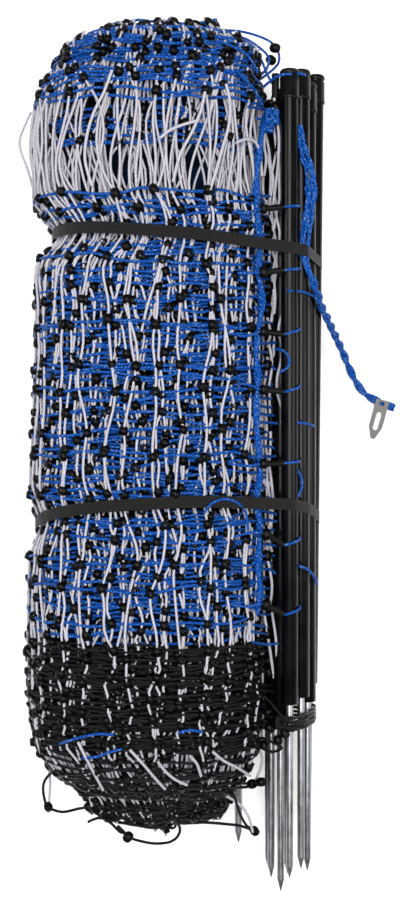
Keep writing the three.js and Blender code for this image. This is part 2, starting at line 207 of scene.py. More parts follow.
# Flat woven tape: the map runs in metres, u along and v across
def weaveGroup():
    tree, start, end = newGroup("weave", "ShaderNodeTree", [
        ("Rib", "NodeSocketFloat", 0.0016),
        ("Depth", "NodeSocketFloat", 0.0003),
    ], [("Ridge", "NodeSocketFloat"), ("Normal", "NodeSocketVector")])
    space = addNode(tree, "ShaderNodeUVMap").outputs["UV"]
    parts = addNode(tree, "ShaderNodeSeparateXYZ", {"Vector": space})
    waves = []
    for sign in (1, -1):
        mixed = addMath(tree, "ADD", parts.outputs["X"], addMath(tree, "MULTIPLY", parts.outputs["Y"], sign))
        phase = addMath(tree, "MULTIPLY", addMath(tree, "DIVIDE", mixed, start.outputs["Rib"]), math.pi)
        waves.append(addMath(tree, "ABSOLUTE", addMath(tree, "SINE", phase)))
    height = addMath(tree, "MULTIPLY", waves[0], waves[1])
    bump = addNode(tree, "ShaderNodeBump", {"Height": height, "Distance": start.outputs["Depth"]})
    tree.links.new(height, end.inputs["Ridge"])
    tree.links.new(bump.outputs["Normal"], end.inputs["Normal"])
    return tree


twist = twistGroup()
specks = specksGroup()
weave = weaveGroup()


# Colours are low in the grooves and high on the strands, as painted shade between the strands and painted light
# on them, and small specks take a painted glint colour where a strand shines
def stringMaterial(name, low, high, glint, share, roughness, gloss, pitch):
    material, tree, principled = newMaterial(name, **{"Specular IOR Level": gloss, "Roughness": roughness})
    laid = useGroup(tree, twist, {"Strands": 3, "Pitch": pitch, "Depth": 0.0005})
    marks = useGroup(tree, specks, {"Broad": 60, "Fine": 520})
    # painted shade: the colour darkens from each strand's crest into the grooves between the strands
    base = addMix(tree, laid.outputs["Ridge"], low, high)
    # painted glints: small specks mixed toward a lighter colour
    glintShare = addMath(tree, "MULTIPLY", marks.outputs["Glint"], share)
    tree.links.new(addMix(tree, glintShare, base, glint), principled.inputs["Base Color"])
    tree.links.new(laid.outputs["Normal"], principled.inputs["Normal"])
    return material


# The second colour clouds in: dust on the posts, caps, sleeves and beads, and painted shade tone on the net core
def plasticMaterial(name, colour, dustAndShade, roughness, gloss):
    material, tree, principled = newMaterial(name, **{"Specular IOR Level": gloss})
    marks = useGroup(tree, specks, {"Broad": 35, "Fine": 300})
    tree.links.new(addMix(tree, marks.outputs["Cloud"], colour, dustAndShade), principled.inputs["Base Color"])
    rough = addMath(tree, "ADD", addMath(tree, "MULTIPLY", marks.outputs["Cloud"], 0.08), roughness)
    tree.links.new(rough, principled.inputs["Roughness"])
    return material


# Galvanised or bare steel, with fine lines along y when streak is large
def steelMaterial(name, low, high, roughness, streak):
    material, tree, principled = newMaterial(name, Metallic=1.0)
    space = addNode(tree, "ShaderNodeTexCoord").outputs["Object"]
    stretched = addNode(tree, "ShaderNodeMapping", {"Vector": space, "Scale": (streak, 12, streak)})
    lines = addNode(tree, "ShaderNodeTexNoise",
                    {"Vector": stretched.outputs["Vector"], "Scale": 1, "Detail": 4})
    marks = useGroup(tree, specks, {"Broad": 90, "Fine": 500})
    factor = addMath(tree, "MULTIPLY", addRamp(tree, lines.outputs["Fac"], 0.3, 0.7), 0.7)
    factor = addMath(tree, "ADD", factor, addMath(tree, "MULTIPLY", marks.outputs["Cloud"], 0.3))
    tree.links.new(addMix(tree, factor, low, high), principled.inputs["Base Color"])
    rough = addMath(tree, "ADD", addMath(tree, "MULTIPLY", factor, 0.15), roughness)
    tree.links.new(rough, principled.inputs["Roughness"])
    return material


def strapMaterial():
    material, tree, principled = newMaterial("strap", **{"Roughness": 0.55, "Specular IOR Level": 0.15})
    laid = useGroup(tree, weave, {"Rib": 0.0034, "Depth": 0.0012})
    # painted shade: near black in the weave's grooves, lighter on its ribs
    colour = addMix(tree, laid.outputs["Ridge"], (0.0005, 0.0005, 0.0005, 1), (0.024, 0.023, 0.022, 1))
    tree.links.new(colour, principled.inputs["Base Color"])
    tree.links.new(laid.outputs["Normal"], principled.inputs["Normal"])
    return material


paint = {
    # For the strings, low is painted shade in the grooves, high is painted light on the strands, and the last
    # colour is a painted glint
    "blue": stringMaterial("blue string", low=(0.0, 0.006, 0.03, 1), high=(0.0002, 0.056, 0.3, 1),
                           glint=(0.15, 0.26, 0.45, 1), share=0.55, roughness=0.5, gloss=0.08, pitch=0.011),
    "blue rope": stringMaterial("blue rope", low=(0.0, 0.002, 0.015, 1), high=(0.0002, 0.062, 0.32, 1),
                                glint=(0.2, 0.32, 0.5, 1), share=0.45, roughness=0.5, gloss=0.06, pitch=0.017),
    "white": stringMaterial("white string", low=(0.23, 0.22, 0.25, 1), high=(0.39, 0.38, 0.42, 1),
                            glint=(0.5, 0.48, 0.52, 1), share=0.3, roughness=0.55, gloss=0.15, pitch=0.014),
    "black": stringMaterial("black string", low=(0.001, 0.001, 0.001, 1), high=(0.005, 0.005, 0.006, 1),
                            glint=(0.02, 0.02, 0.023, 1), share=0.5, roughness=0.36, gloss=0.09, pitch=0.009),
    "bead": plasticMaterial("bead", (0.0006, 0.0006, 0.0006, 1), (0.0015, 0.0015, 0.0015, 1),
                            roughness=0.3, gloss=0.09),
    "post": plasticMaterial("post", (0.0006, 0.0006, 0.0008, 1), (0.0014, 0.0014, 0.0018, 1),
                            roughness=0.2, gloss=0.12),
    "cap": plasticMaterial("cap", (0.001, 0.001, 0.001, 1), (0.003, 0.0028, 0.0028, 1),
                           roughness=0.32, gloss=0.14),
    "sleeve": plasticMaterial("sleeve", (0.001, 0.001, 0.001, 1), (0.004, 0.0038, 0.0036, 1),
                              roughness=0.45, gloss=0.12),
    # painted shade: the net core is near black with a navy cloud, as the shaded inner turns of net
    "core": plasticMaterial("net core shade", (0.0005, 0.001, 0.002, 1), (0.001, 0.004, 0.014, 1),
                            roughness=0.9, gloss=0.02),
    "spike": steelMaterial("galvanised", (0.13, 0.134, 0.142, 1), (0.35, 0.36, 0.375, 1),
                           roughness=0.26, streak=900),
    "plate": steelMaterial("plate steel", (0.07, 0.066, 0.063, 1), (0.115, 0.11, 0.105, 1),
                           roughness=0.4, streak=60),
    "strap": strapMaterial(),
}
print("materials done")


# Geometry node trees: strings along mesh lines, and beads on points

def stringTree():
    tree, start, end = newGroup("strings", "GeometryNodeTree", [
        ("Geometry", "NodeSocketGeometry", None),
        ("Radius", "NodeSocketFloat", 0.0015),
        ("Sides", "NodeSocketInt", 6),
        ("Material", "NodeSocketMaterial", None),
    ], [("Geometry", "NodeSocketGeometry")])
    lines = addNode(tree, "GeometryNodeMeshToCurve", {"Mesh": start.outputs["Geometry"]})
    way = tree.nodes.new("GeometryNodeSplineParameter")
    kept = addNode(tree, "GeometryNodeStoreNamedAttribute",
                   {"Geometry": lines.outputs["Curve"], "Name": "way", "Value": way.outputs["Length"]},
                   data_type="FLOAT", domain="POINT")
    circle = addNode(tree, "GeometryNodeCurvePrimitiveCircle",
                     {"Resolution": start.outputs["Sides"], "Radius": start.outputs["Radius"]})
    position = tree.nodes.new("GeometryNodeInputPosition")
    outward = addNode(tree, "ShaderNodeVectorMath", {0: position.outputs["Position"]}, operation="NORMALIZE")
    profile = addNode(tree, "GeometryNodeStoreNamedAttribute",
                      {"Geometry": circle.outputs["Curve"], "Name": "round",
                       "Value": outward.outputs["Vector"]},
                      data_type="FLOAT_VECTOR", domain="POINT")
    tube = addNode(tree, "GeometryNodeCurveToMesh",
                   {"Curve": kept.outputs["Geometry"], "Profile Curve": profile.outputs["Geometry"],
                    "Fill Caps": True})
    wayBack = addNode(tree, "GeometryNodeInputNamedAttribute", {"Name": "way"}, data_type="FLOAT")
    roundBack = addNode(tree, "GeometryNodeInputNamedAttribute", {"Name": "round"}, data_type="FLOAT_VECTOR")
    split = addNode(tree, "ShaderNodeSeparateXYZ", {"Vector": roundBack.outputs["Attribute"]})
    joined = addNode(tree, "ShaderNodeCombineXYZ",
                     {"X": split.outputs["X"], "Y": split.outputs["Y"], "Z": wayBack.outputs["Attribute"]})
    turned = addNode(tree, "GeometryNodeStoreNamedAttribute",
                     {"Geometry": tube.outputs["Mesh"], "Name": "turn", "Value": joined.outputs["Vector"]},
                     data_type="FLOAT_VECTOR", domain="POINT")
    smooth = addNode(tree, "GeometryNodeSetShadeSmooth", {"Geometry": turned.outputs["Geometry"]})
    real = addNode(tree, "GeometryNodeRealizeInstances", {"Geometry": smooth.outputs["Geometry"]})
    coloured = addNode(tree, "GeometryNodeSetMaterial",
                       {"Geometry": real.outputs["Geometry"], "Material": start.outputs["Material"]})
    tree.links.new(coloured.outputs["Geometry"], end.inputs["Geometry"])
    return tree


def beadTree():
    tree, start, end = newGroup("beads", "GeometryNodeTree", [
        ("Geometry", "NodeSocketGeometry", None),
        ("Ring Radius", "NodeSocketFloat", 0.0025),
        ("Wall Radius", "NodeSocketFloat", 0.0018),
        ("Stretch", "NodeSocketFloat", 1.9),
        ("Sides", "NodeSocketInt", 10),
        ("Wall Sides", "NodeSocketInt", 6),
        ("Seed", "NodeSocketInt", 3),
        ("Material", "NodeSocketMaterial", None),
    ], [("Geometry", "NodeSocketGeometry")])
    ring = addNode(tree, "GeometryNodeCurvePrimitiveCircle",
                   {"Resolution": start.outputs["Sides"], "Radius": start.outputs["Ring Radius"]})
    wall = addNode(tree, "GeometryNodeCurvePrimitiveCircle",
                   {"Resolution": start.outputs["Wall Sides"], "Radius": start.outputs["Wall Radius"]})
    bead = addNode(tree, "GeometryNodeCurveToMesh",
                   {"Curve": ring.outputs["Curve"], "Profile Curve": wall.outputs["Curve"]})
    scale = addNode(tree, "ShaderNodeCombineXYZ", {"X": 1, "Y": 1, "Z": start.outputs["Stretch"]})
    barrel = addNode(tree, "GeometryNodeTransform",
                     {"Geometry": bead.outputs["Mesh"], "Scale": scale.outputs["Vector"]})
    axis = addNode(tree, "GeometryNodeInputNamedAttribute", {"Name": "axis"}, data_type="FLOAT_VECTOR")
    turn = addNode(tree, "FunctionNodeAlignRotationToVector", {"Vector": axis.outputs["Attribute"]}, axis="Z")
    size = addNode(tree, "FunctionNodeRandomValue", {2: 0.9, 3: 1.08, "Seed": start.outputs["Seed"]})
    placed = addNode(tree, "GeometryNodeInstanceOnPoints",
                     {"Points": start.outputs["Geometry"], "Instance": barrel.outputs["Geometry"],
                      "Rotation": turn.outputs["Rotation"], "Scale": size.outputs[1]})
    real = addNode(tree, "GeometryNodeRealizeInstances", {"Geometry": placed.outputs["Instances"]})
    smooth = addNode(tree, "GeometryNodeSetShadeSmooth", {"Geometry": real.outputs["Geometry"]})
    coloured = addNode(tree, "GeometryNodeSetMaterial",
                       {"Geometry": smooth.outputs["Geometry"], "Material": start.outputs["Material"]})
    tree.links.new(coloured.outputs["Geometry"], end.inputs["Geometry"])
    return tree


strings = stringTree()
beads = beadTree()


# Runs a tree on a mesh of lines or points and keeps the plain mesh that comes out
def growMesh(name, mesh, group, inputs):
    source = bpy.data.objects.new(name + " lines", mesh)
    bpy.context.scene.collection.objects.link(source)
    modifier = source.modifiers.new("tree", "NODES")
    modifier.node_group = group
    for item in group.interface.items_tree:
        if item.in_out == "INPUT" and item.name in inputs:
            modifier[item.identifier] = inputs[item.name]
    depsgraph = bpy.context.evaluated_depsgraph_get()
    made = bpy.data.meshes.new_from_object(source.evaluated_get(depsgraph), depsgraph=depsgraph)
    bpy.data.objects.remove(source)
    return keepPiece(name, made)


def keepPiece(name, mesh):
    piece = bpy.data.objects.new(name, mesh)
    bpy.context.scene.collection.objects.link(piece)
    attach(piece, "root")
    return piece


# Each line is (points, closed)
def growStrings(name, lines, colour, radius, sides):
    points = []
    edges = []
    for line, closed in lines:
        first = len(points)
        points += line
        edges += [(first + n, first + n + 1) for n in range(len(line) - 1)]
        if closed:
            edges.append((len(points) - 1, first))
    mesh = bpy.data.meshes.new(name)
    mesh.from_pydata(points, edges, [])
    return growMesh(name, mesh, strings, {"Radius": radius * mm, "Sides": sides, "Material": paint[colour]})


# Each place is (point, axis)
def growBeads(name, places, sides, wallSides):
    mesh = bpy.data.meshes.new(name)
    mesh.from_pydata([point for point, axis in places], [], [])
    attribute = mesh.attributes.new("axis", "FLOAT_VECTOR", "POINT")
    for item, (point, axis) in zip(attribute.data, places):
        item.vector = axis
    inputs = {
        "Ring Radius": beadSet["ring"] * mm,
        "Wall Radius": beadSet["wall"] * mm,
        "Stretch": beadSet["stretch"],
        "Sides": sides,
        "Wall Sides": wallSides,
        "Seed": beadSet["seed"],
        "Material": paint["bead"],
    }
    return growMesh(name, mesh, beads, inputs)


# A soft curve through the corners, cut in steps of about that length
def smoothLine(corners, step):
    points = []
    last = len(corners) - 1
    for n in range(last):
        before, a, b, after = corners[max(n - 1, 0)], corners[n], corners[n + 1], corners[min(n + 2, last)]
        cuts = max(1, round((b - a).length / step))
        for cut in range(cuts):
            t = cut / cuts
            curve = 2 * a + (b - before) * t + (2 * before - 5 * a + 4 * b - after) * t ** 2
            points.append((curve + (3 * a - before - 3 * b + after) * t ** 3) / 2)
    return points + [corners[last]]


# The net: its solid gives the bundle's outer shape, as a radius for each angle and place along y
netSet = {
    # pixel rows of the picture
    "topRow": [90, 17],
    "secondRow": [58, 92],
    "bandFoot": 192,
    "bandSpread": 38,
    "band": [115, 170],
    "blackFrom": 650,
    "blackRows": [656, 681, 706, 729, 750],
    "footRow": [770, 845],
    "footReach": [838, 866],
    "rowGaps": [66, 42],
    # turns, from the outside in
    "turns": 15,
    "outerTurns": 5,
    "wideTurns": 2,
    "endTurns": 13,
    "firstDepth": 2.2,
    "turnDepth": 1.2,
    "endTurnDepth": 6.3,
    "endReach": 45,
    "domeStart": [-392, 418],
    "leastRadius": 8,
    "lowest": 2,
    # how each turn's rows move from those of the last
    "turnSteps": [0.618, 0.382],
    "rowPower": [0.75, 0.8],
    "blackShift": 27,
    "blackRise": 8,
    # strings
    "stringRadius": 1.6,
    "whiteRadius": 1.4,
    "doubles": {"top": 1, "blue": 0.25, "black": 0.6},
    "doubleGap": [3, 9],
    "extraRows": 4,
    "stub": 8,
    "sides": {"outer": 6, "inner": 4},
    "beadSides": {"outer": (10, 6), "inner": (7, 4)},
    # cells
    "cellWidth": 50,
    "rowHeight": 1.05,
    "rowSteps": 5,
    "columnStep": 11,
    # how far the strings stray, in millimetres
    "topSwing": 4,
    "footSwing": 5,
    "endSwing": [14, 8],
    "cellSwing": 7,
    "rowSwing": 3,
    "rowLean": 5,
    "rowBow": 4,
    "rowWave": 1.5,
    "doubleSwing": 2,
    "extraSwing": 20,
    "inward": 20,
    "depthSwing": [-1.2, 1.8],
    "columnBow": 4,
    "columnWave": 2.5,
    "looseBow": 18,
    "looseWave": 2.4,
    # reading of the solid
    "angles": 144,
    "slices": 120,
    "ringCuts": 240,
    "rayStart": 100,
    "midLevel": 0.35,
    "seed": 41,
}


beadSet = {
    "ring": 3.1,
    "wall": 2.25,
    "stretch": 2.4,
    "facing": 0.25,
    "wobble": 0.45,
    "lowest": 6.8,
    "seed": 5,
}
strapTilt = {
    "strap_upper": {"y": 225.5, "slopeX": -8.5, "slopeZ": 5.6, "box": (-167, 62.4, 8, 194.7)},
    "strap_lower": {"y": -83.8, "slopeX": 6.8, "slopeZ": 27, "box": (-185.7, 62.4, 8, 197)},
}
pinch = {"halfWidth": 13, "depth": 3.5}


# Bundle y of a strap's middle line at a place round the bundle
def strapLevel(name, x, z):
    given = strapTilt[name]
    left, right, bottom, top = given["box"]
    sideways = given["slopeX"] * (2 * x - left - right) / (right - left)
    return given["y"] + sideways + given["slopeZ"] * (2 * z - bottom - top) / (top - bottom)


def solidTree(node):
    mesh = node.data
    return BVHTree.FromPolygons([node.matrix_world @ v.co for v in mesh.vertices],
                                [tuple(p.vertices) for p in mesh.polygons])


# The net's solid as a radius round its middle, looked up by angle and y, all in metres
class Surface:
    def __init__(self, node):
        self.tree = solidTree(node)
        low, high = [Vector(corner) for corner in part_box(node.name)]
        self.low, self.high = low.y + mm, high.y - mm
        self.middles = []
        self.radii = []
        for n in range(netSet["slices"]):
            y = self.low + (self.high - self.low) * n / (netSet["slices"] - 1)
            self.addSlice(y, low, high)

    def addSlice(self, y, low, high):
        away = netSet["rayStart"] * mm
        level = (low.z + high.z) * netSet["midLevel"]
        left = self.hit(Vector((low.x - away, y, level)), Vector((1, 0, 0)))
        right = self.hit(Vector((high.x + away, y, level)), Vector((-1, 0, 0)))
        if left is None or right is None:
            self.middles.append(self.middles[-1] if self.middles else Vector((0, y, level)))
            self.radii.append(self.radii[-1] if self.radii else [mm] * netSet["angles"])
            return
        x = (left.x + right.x) / 2
        top = self.hit(Vector((x, y, high.z + away)), Vector((0, 0, -1)))
        foot = self.hit(Vector((x, y, -away)), Vector((0, 0, 1)))
        middle = Vector((x, y, (top.z + foot.z) / 2))
        ring = []
        for n in range(netSet["angles"]):
            out = self.hit(middle, rayAt(2 * math.pi * n / netSet["angles"]))
            ring.append((out - middle).length if out else ring[-1])
        self.middles.append(middle)
        self.radii.append(ring)

    def hit(self, start, direction):
        return self.tree.ray_cast(start, direction)[0]

    # (middle, radius) at an angle and y
    def look(self, angle, y):
        row = (min(max(y, self.low), self.high) - self.low) / (self.high - self.low) * (netSet["slices"] - 1)
        column = (angle / (2 * math.pi)) % 1 * netSet["angles"]
        n, m = min(int(row), netSet["slices"] - 2), int(column) % netSet["angles"]
        t, s = row - n, column - int(column)
        after = (m + 1) % netSet["angles"]
        near = self.radii[n][m] * (1 - s) + self.radii[n][after] * s
        far = self.radii[n + 1][m] * (1 - s) + self.radii[n + 1][after] * s
        middle = self.middles[n].lerp(self.middles[n + 1], t)
        return middle, near * (1 - t) + far * t


surface = Surface(nodes["netting"])
ringCuts = netSet["ringCuts"]


# Way round the net's middle at each cut
def girthWays():
    halfway = (surface.low + surface.high) / 2
    points = []
    for n in range(ringCuts + 1):
        angle = 2 * math.pi * n / ringCuts
        middle, radius = surface.look(angle, halfway)
        points.append(middle + rayAt(angle) * radius)
    ways = [0]
    for a, b in zip(points, points[1:]):
        ways.append(ways[-1] + (b - a).length)
    return ways


ringWay = girthWays()


# Angle round the net after that share of its girth
def angleAt(share):
    way = share % 1 * ringWay[-1]
    n = max(1, bisect_left(ringWay, way))
    return 2 * math.pi * (n - 1 + (way - ringWay[n - 1]) / (ringWay[n] - ringWay[n - 1])) / ringCuts


# Point of the net at a share of its girth, a bundle y and a depth under the outer shape
def netPoint(share, y, depth):
    angle = angleAt(share)
    yFrame = y * mm + shift.y
    middle, radius = surface.look(angle, yFrame)
    low, high = [limit * mm + shift.y for limit in netSet["domeStart"]]
    plain = surface.look(angle, min(max(yFrame, low), high))[1] - depth * mm
    radius = max(min(radius - netSet["firstDepth"] * mm, plain), netSet["leastRadius"] * mm)
    ray = rayAt(angle)
    point = (middle + ray * radius - shift) / mm
    for name in strapTilt:
        near = 1 - abs(y - strapLevel(name, point.x, point.z)) / pinch["halfWidth"]
        if near > 0:
            point -= ray * near ** 0.5 * pinch["depth"]
    point = point * mm + shift
    point.y = yFrame
    point.z = max(point.z, netSet["lowest"] * mm)
    return point


# Rows of one turn as (pixel row, colour), from the cap end to the foot end
def rowsOf(turn, source):
    share = turn / (netSet["turns"] - 1)
    wide, narrow = [(turn * step) % 1 for step in netSet["turnSteps"]]
    topPower, footPower = netSet["rowPower"]
    top = between(netSet["topRow"], share ** topPower)
    rows = [(top + swing(source, netSet["topSwing"]), "blue")]
    if turn >= netSet["outerTurns"]:
        rows.append((top + between(netSet["secondRow"], source.random()), "blue"))
    rows.append((netSet["bandFoot"] + narrow * netSet["bandSpread"], "blue"))
    gap = netSet["rowGaps"][0 if turn < netSet["wideTurns"] else 1]
    down = netSet["bandFoot"] + gap * (1 + wide)
    while down < netSet["blackFrom"] - gap / 3:
        rows.append((down, "blue"))
        down += gap
    for down in netSet["blackRows"]:
        rows.append((down + max(-netSet["blackRise"], (wide - 0.5) * netSet["blackShift"]), "black"))
    foot = between(netSet["footRow"], share ** footPower)
    rows.append((foot + swing(source, netSet["footSwing"]), "black"))
    return sorted(rows)


# Where the columns cross the rows, as (share of the girth, y, depth)
def crossingsOf(rows, depth, girth, source):
    cells = round(girth / netSet["cellWidth"])
    start = source.random()
    crossings = []
    for down, colour in rows:
        y = (cameraSet["pictureHeight"] / 2 - down) * netSet["rowHeight"]
        lean = swing(source, netSet["rowLean"])
        phase = source.random()
        ring = []
        for n in range(cells):
            share = start + n / cells + swing(source, netSet["cellSwing"]) / girth
            drift = lean * math.sin(2 * math.pi * (2 * n / cells + phase)) + swing(source, netSet["rowSwing"])
            ring.append((share, y + drift, depth + source.uniform(*netSet["depthSwing"])))
        crossings.append(ring)
    return crossings


# One closed row through its crossings
def rowLine(ring, source):
    line = []
    for n, a in enumerate(ring):
        b = ring[(n + 1) % len(ring)]
        whole = 1 if n == len(ring) - 1 else 0
        bow = swing(source, netSet["rowBow"])
        wave = swing(source, netSet["rowWave"])
        for step in range(netSet["rowSteps"]):
            t = step / netSet["rowSteps"]
            y = a[1] + (b[1] - a[1]) * t + bow * math.sin(math.pi * t) + wave * math.sin(2 * math.pi * t)
            line.append(netPoint(a[0] + (b[0] + whole - a[0]) * t, y, a[2] + (b[2] - a[2]) * t))
    return line


# A bead sits along its upright string, and some have turned to face outward
def beadAxis(along, out, source):
    if source.random() < beadSet["facing"]:
        along = out
    wobble = Vector((swing(source, 1), swing(source, 1), swing(source, 1)))
    return (along + wobble * beadSet["wobble"]).normalized()


# One upright string through its crossings, and the beads on it
def columnLine(rows, crossings, n, girth, source):
    bandTop, bandFoot = netSet["band"]
    line = []
    places = []
    for row in range(len(rows) - 1):
        a, b = crossings[row][n], crossings[row + 1][n]
        loose = rows[row][0] < bandFoot and rows[row + 1][0] > bandTop
        bow = swing(source, netSet["columnBow"]) + (swing(source, netSet["looseBow"]) if loose else 0)
        wave = swing(source, netSet["columnWave"]) * (netSet["looseWave"] if loose else 1)
        steps = max(3, round(abs(a[1] - b[1]) / netSet["columnStep"]))
        for step in range(steps):
            t = step / steps
            side = bow * math.sin(math.pi * t) + wave * math.sin(2 * math.pi * t)
            share = a[0] + (b[0] - a[0]) * t + side / girth
            line.append(netPoint(share, a[1] + (b[1] - a[1]) * t, a[2] + (b[2] - a[2]) * t))
        places.append((line[-steps], line[1 - steps] - line[-steps], a))
    line.append(netPoint(*crossings[-1][n]))
    places.append((line[-1], line[-1] - line[-2], crossings[-1][n]))
    beadsHere = []
    for point, along, (share, y, depth) in places:
        out = point - netPoint(share, y, depth + netSet["inward"])
        point = Vector((point.x, point.y, max(point.z, beadSet["lowest"] * mm)))
        beadsHere.append((point, beadAxis(along.normalized(), out.normalized(), source)))
    stub = netSet["stub"] * mm
    line.insert(0, line[0] + (line[0] - line[1]).normalized() * stub)
    line.append(line[-1] + (line[-1] - line[-2]).normalized() * stub)
    return line, beadsHere


# One turn of net: its rows, some of them doubled, and its columns with their beads
def weaveTurn(rows, depth, source, lines, places):
    girth = ringWay[-1] / mm - 2 * math.pi * depth
    crossings = crossingsOf(rows, depth, girth, source)
    spread = netSet["doubleSwing"]
    for n, ((down, colour), ring) in enumerate(zip(rows, crossings)):
        lines[colour].append((rowLine(ring, source), True))
        extra = netSet["doubles"]["top" if n == 0 else colour]
        for copy in range(int(extra + source.random())):
            move = source.uniform(*netSet["doubleGap"]) * (copy + 1)
            beside = [(share, y - move + swing(source, spread), deep + source.uniform(0, spread))
                      for share, y, deep in ring]
            lines[colour].append((rowLine(beside, source), True))
    some = netSet["extraRows"]
    for n in range(len(crossings[0])):
        if len(rows) > some and n % 2:
            extra = [[(share + swing(source, netSet["extraSwing"]) / girth, y, deep + 1)
                      for share, y, deep in ring] for ring in crossings[:some]]
            lines["white"].append((columnLine(rows[:some], extra, n, girth, source)[0], False))
        line, beadsHere = columnLine(rows, crossings, n, girth, source)
        lines["white"].append((line, False))
        places += beadsHere


# The outer turns run the whole length, and further in only their ends show
def weaveNet():
    source = random.Random(netSet["seed"])
    lines = {part: {"blue": [], "black": [], "white": []} for part in ("outer", "inner")}
    places = {"outer": [], "inner": []}
    for turn in range(netSet["turns"]):
        part = "outer" if turn < netSet["outerTurns"] else "inner"
        depth = netSet["firstDepth"] + netSet["turnDepth"] * turn
        weaveTurn(rowsOf(turn, source), depth, source, lines[part], places[part])
    reach = netSet["endReach"]
    topSwing, footSwing = netSet["endSwing"]
    for turn in range(netSet["endTurns"]):
        depth = netSet["firstDepth"] + netSet["turnDepth"] * netSet["turns"] + netSet["endTurnDepth"] * turn
        top = netSet["topRow"][1] + source.uniform(0, topSwing)
        foot = between(netSet["footReach"], turn / (netSet["endTurns"] - 1)) - source.uniform(0, footSwing)
        weaveTurn([(top, "blue"), (top + reach, "blue")], depth, source, lines["inner"], places["inner"])
        weaveTurn([(foot - reach, "black"), (foot, "black")], depth, source, lines["inner"], places["inner"])
    made = []
    for part in ("outer", "inner"):
        for colour, found in lines[part].items():
            radius = netSet["whiteRadius"] if colour == "white" else netSet["stringRadius"]
            made.append(growStrings(f"net_{colour}_{part}", found, colour, radius, netSet["sides"][part]))
    for part in ("outer", "inner"):
        made.append(growBeads(f"net_beads_{part}", places[part], *netSet["beadSides"][part]))
    return made


netPieces = weaveNet()
print("net strings done", [len(p.data.polygons) for p in netPieces])


coreSet = {"depth": 20, "endDepth": 60, "endLength": 40, "rows": 80, "columns": 48, "low": -395, "high": 425}


# A dark closed body deep inside, in place of the inner turns of net and coloured as painted shade, so that the
# gaps between the strings look deep
def addCore():
    points = []
    faces = []
    for row in range(coreSet["rows"] + 1):
        y = coreSet["low"] + (coreSet["high"] - coreSet["low"]) * row / coreSet["rows"]
        end = max(0, 1 - min(y - coreSet["low"], coreSet["high"] - y) / coreSet["endLength"])
        depth = coreSet["depth"] + (coreSet["endDepth"] - coreSet["depth"]) * end
        for column in range(coreSet["columns"]):
            points.append(netPoint(column / coreSet["columns"], y, depth))
    across = coreSet["columns"]
    for row in range(coreSet["rows"]):
        for column in range(across):
            a, b = row * across + column, row * across + (column + 1) % across
            faces.append((a, b, b + across, a + across))
    faces.append(tuple(range(across - 1, -1, -1)))
    faces.append(tuple(coreSet["rows"] * across + n for n in range(across)))
    mesh = bpy.data.meshes.new("net_core_shade")
    mesh.from_pydata(points, [], faces)
    mesh.materials.append(paint["core"])
    return keepPiece("net_core_shade", mesh)


netPieces.append(addCore())
print("net core shade done")


